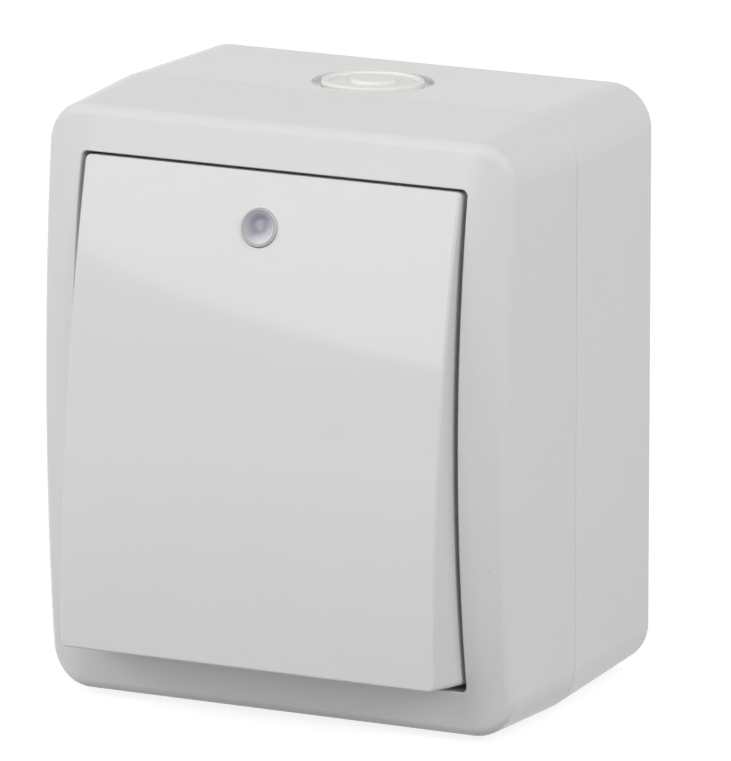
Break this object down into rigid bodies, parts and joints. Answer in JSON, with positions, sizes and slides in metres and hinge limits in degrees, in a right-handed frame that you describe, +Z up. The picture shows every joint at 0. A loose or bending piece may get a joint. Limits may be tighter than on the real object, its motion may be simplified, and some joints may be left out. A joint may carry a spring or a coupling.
{
  "type": "weatherproof surface-mounted rocker switch",
  "caption": "Surface-mounted splash-proof rocker switch: drafted box, curved front frame, large tilting key with an indicator lens, soft cable entry on top.",
  "frame": {"origin": "centre of the rear face that lies against the wall", "axes": "+X to the right seen from the front, +Y into the wall, +Z up"},
  "size_m": [0.066, 0.0502, 0.077],
  "materials": {
    "housing": "glossy white moulding",
    "key": "polished white moulding",
    "grommet": "soft satin white",
    "lens": "clear, slightly violet",
    "seal": "matt dark grey",
    "insulation": "matt light grey",
    "steel": "zinc plated",
    "screw": "zinc plated",
    "brass": "bright",
    "contact_metal": "bright silver",
    "lamp_glass": "clear glass",
    "board": "matt brown laminate",
    "resistor": "matt tan lacquer"
  },
  "bodies": {
    "housing": {"base_box": "housing", "front_cover": "housing", "cover_gasket": "seal", "top_grommet": "grommet", "mechanism_base": "insulation", "support_frame": "steel", "mechanism_cap": "insulation", "insert_seal": "seal", "support_screws": "screw", "cover_screws": "screw", "common_contact": "brass", "fixed_contact": "brass", "fixed_rivet": "contact_metal", "live_clamp": "brass", "load_clamp": "brass", "terminal_screws": "screw", "lamp_holder": "insulation", "indicator_lamp": "lamp_glass", "lamp_leads": "steel", "lamp_board": "board", "lamp_resistor": "resistor"},
    "key": {"rocker": "key", "indicator_lens": "lens", "rocker_cradle": "insulation", "toggle_spring": "steel"},
    "plunger": {"plunger": "insulation"},
    "lever": {"contact_lever": "brass", "lever_rivet": "contact_metal"}
  },
  "joints": [
    {"name": "key_tilt", "type": "hinge", "parent": "housing", "child": "key", "pos_m": [0, -0.0398, 0], "axis": [1, 0, 0], "range_deg": [0, 14]},
    {"name": "lever_tilt", "type": "hinge", "parent": "housing", "child": "lever", "pos_m": [0, -0.02695, 0], "axis": [1, 0, 0], "range_deg": [-12.5, 0.5]},
    {"name": "plunger_slide", "type": "slide", "parent": "key", "child": "plunger", "axis": [0, -0.9925, 0.1219], "range_m": [0, 0.0003], "stiffness_N_per_m": 300, "springref_m": -0.003}
  ],
  "couplings": [
    {"joint": "lever_tilt", "follows": "key_tilt", "ratio": -0.85714}
  ]
}
